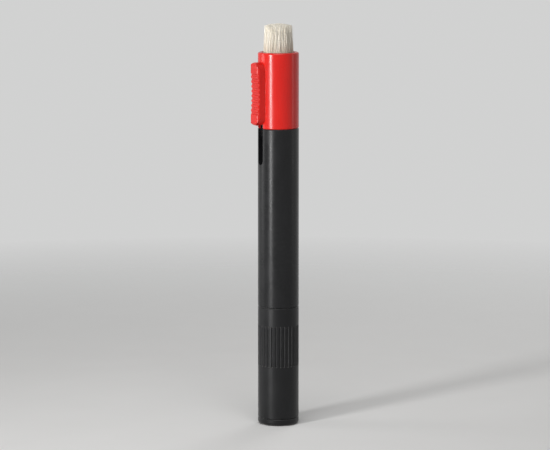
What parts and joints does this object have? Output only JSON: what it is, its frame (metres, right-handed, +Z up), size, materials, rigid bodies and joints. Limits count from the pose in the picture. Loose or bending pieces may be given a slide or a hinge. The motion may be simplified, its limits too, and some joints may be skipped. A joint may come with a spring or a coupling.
{
  "type": "lens cleaning pen",
  "caption": "Pocket pen for cleaning lenses: a thumb slide runs a hair brush out of one end, and a cap with a charging sponge covers a flexible carbon pad at the other.",
  "frame": {"origin": "centre of the flat foot of the cap, on the pen's axis", "axes": "+Z up the pen from the cap to the brush, -X towards the thumb slide"},
  "size_m": [0.0154, 0.013, 0.128],
  "materials": {
    "black_plastic": "satin",
    "red_plastic": "semi-gloss",
    "grey_plastic": "satin",
    "black_rubber": "matte",
    "carbon_foam": "porous",
    "chamois": "napped",
    "spring_steel": "bright",
    "ferrule_metal": "satin",
    "resin": "clear amber",
    "ivory_hair": "natural hair"
  },
  "bodies": {
    "cap": {"cap_end_plug": "black_plastic", "cap_shell": "black_plastic", "sponge_cup": "grey_plastic", "carbon_sponge": "carbon_foam"},
    "grip_ring": {"cap_grip_ring": "black_rubber"},
    "barrel": {"lower_barrel": "black_plastic", "tip_plug": "black_plastic", "tip_stem": "black_rubber", "tip_plate": "black_plastic", "tip_foam": "carbon_foam", "cleaning_pad": "chamois", "brush_housing": "red_plastic", "mouth_ring": "red_plastic"},
    "brush": {"slide_carriage": "grey_plastic", "brake_spring": "spring_steel", "thumb_button": "red_plastic", "brush_ferrule": "ferrule_metal", "brush_resin": "resin", "brush_hair": "ivory_hair"}
  },
  "joints": [
    {"name": "cap_twist", "type": "hinge", "parent": "cap", "child": "grip_ring", "pos_m": [0, 0, 0.035], "axis": [0, 0, 1], "continuous": true},
    {"name": "cap_pull", "type": "slide", "parent": "grip_ring", "child": "barrel", "axis": [0, 0, 1], "range_m": [0, 0.04]},
    {"name": "brush_slide", "type": "slide", "parent": "barrel", "child": "brush", "axis": [0, 0, 1], "range_m": [-0.015, 0]}
  ]
}
